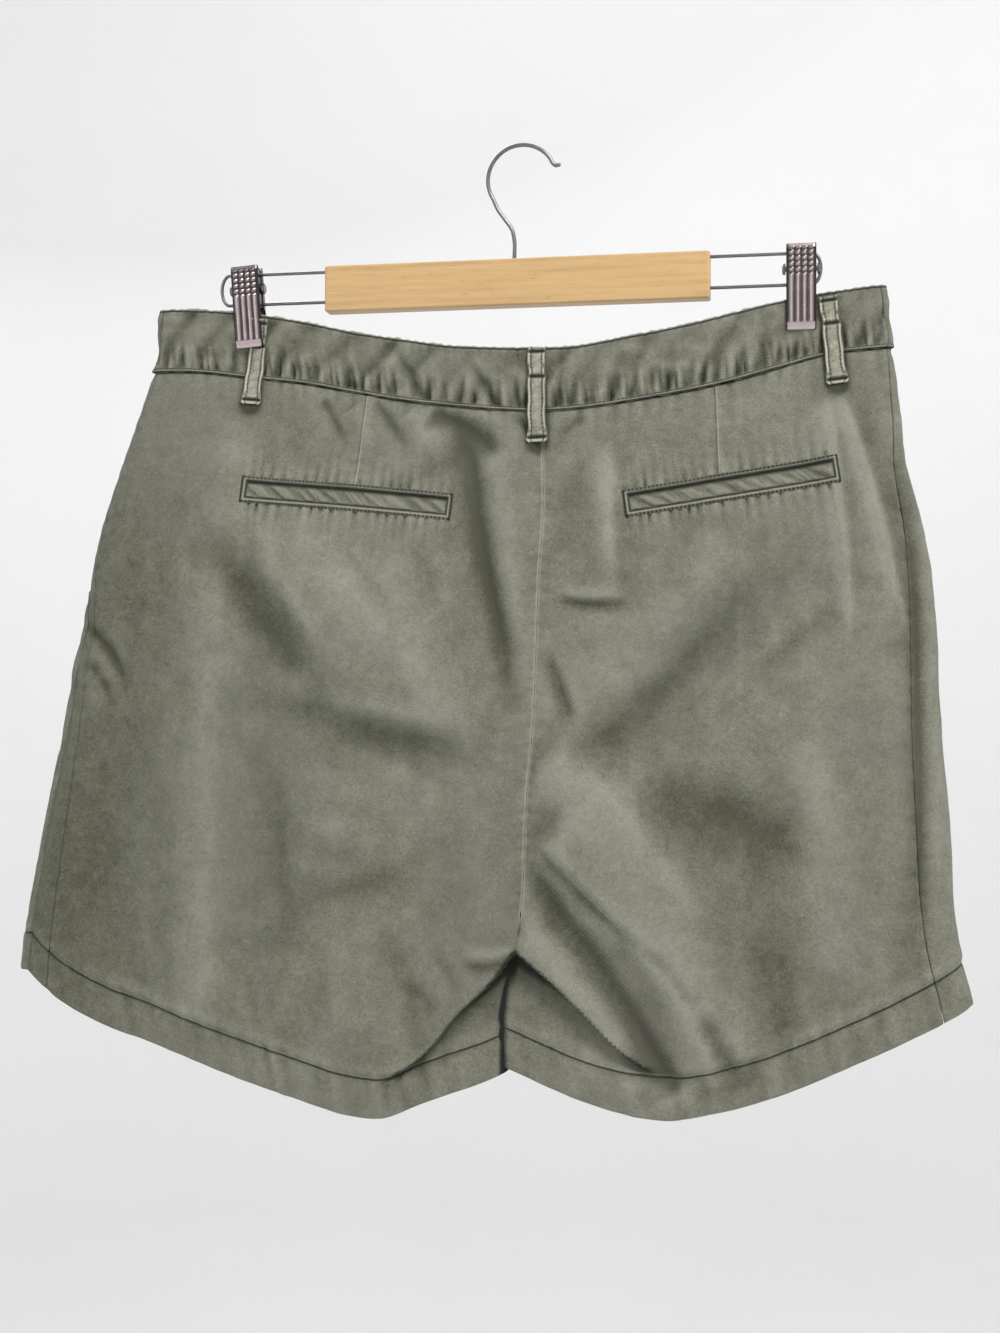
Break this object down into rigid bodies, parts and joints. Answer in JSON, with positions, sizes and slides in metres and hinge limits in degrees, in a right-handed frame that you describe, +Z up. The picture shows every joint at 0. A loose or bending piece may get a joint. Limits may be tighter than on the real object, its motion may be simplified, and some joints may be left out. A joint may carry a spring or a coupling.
{
  "type": "pleated shorts on a clip hanger",
  "caption": "Olive cotton twill shorts with shaped waistband, belt loops, welt pockets and wide hems, clipped flat by the waist to a wooden bar hanger with a wire hook.",
  "frame": {"origin": "the highest point inside the hook's crown, where a rail or peg carries it", "axes": "+Z up, +X to the right when looking at the back of the shorts, +Y from the back of the shorts to their front"},
  "size_m": [0.5813, 0.0427, 0.5837],
  "materials": {
    "twill": "washed garment-dyed cotton twill",
    "worn_twill": "abraded, paler cotton twill",
    "button": "horn-like, satin",
    "wood": "clear satin varnish over pale beech",
    "steel": "bright drawn wire",
    "clip": "polished, slightly pink plating"
  },
  "bodies": {
    "root": {"back_left": "twill", "back_right": "twill", "front_left": "twill", "front_right": "twill", "waistband_back": "twill", "waistband_front_left": "twill", "waistband_front_right": "twill", "fly": "twill", "welt_left": "twill", "welt_right": "twill", "pocket_mouth_left": "twill", "pocket_mouth_right": "twill", "belt_loop_back_left": "worn_twill", "belt_loop_back_middle": "worn_twill", "belt_loop_back_right": "worn_twill", "belt_loop_front_left": "worn_twill", "belt_loop_front_right": "worn_twill", "waist_button": "button", "hanger_bar": "wood", "hanger_hook": "steel", "wire_left": "steel", "wire_right": "steel", "clip_left_spring": "steel", "clip_right_spring": "steel", "clip_left_back": "clip", "clip_left_front": "clip", "clip_right_back": "clip", "clip_right_front": "clip"}
  },
  "joints": []
}
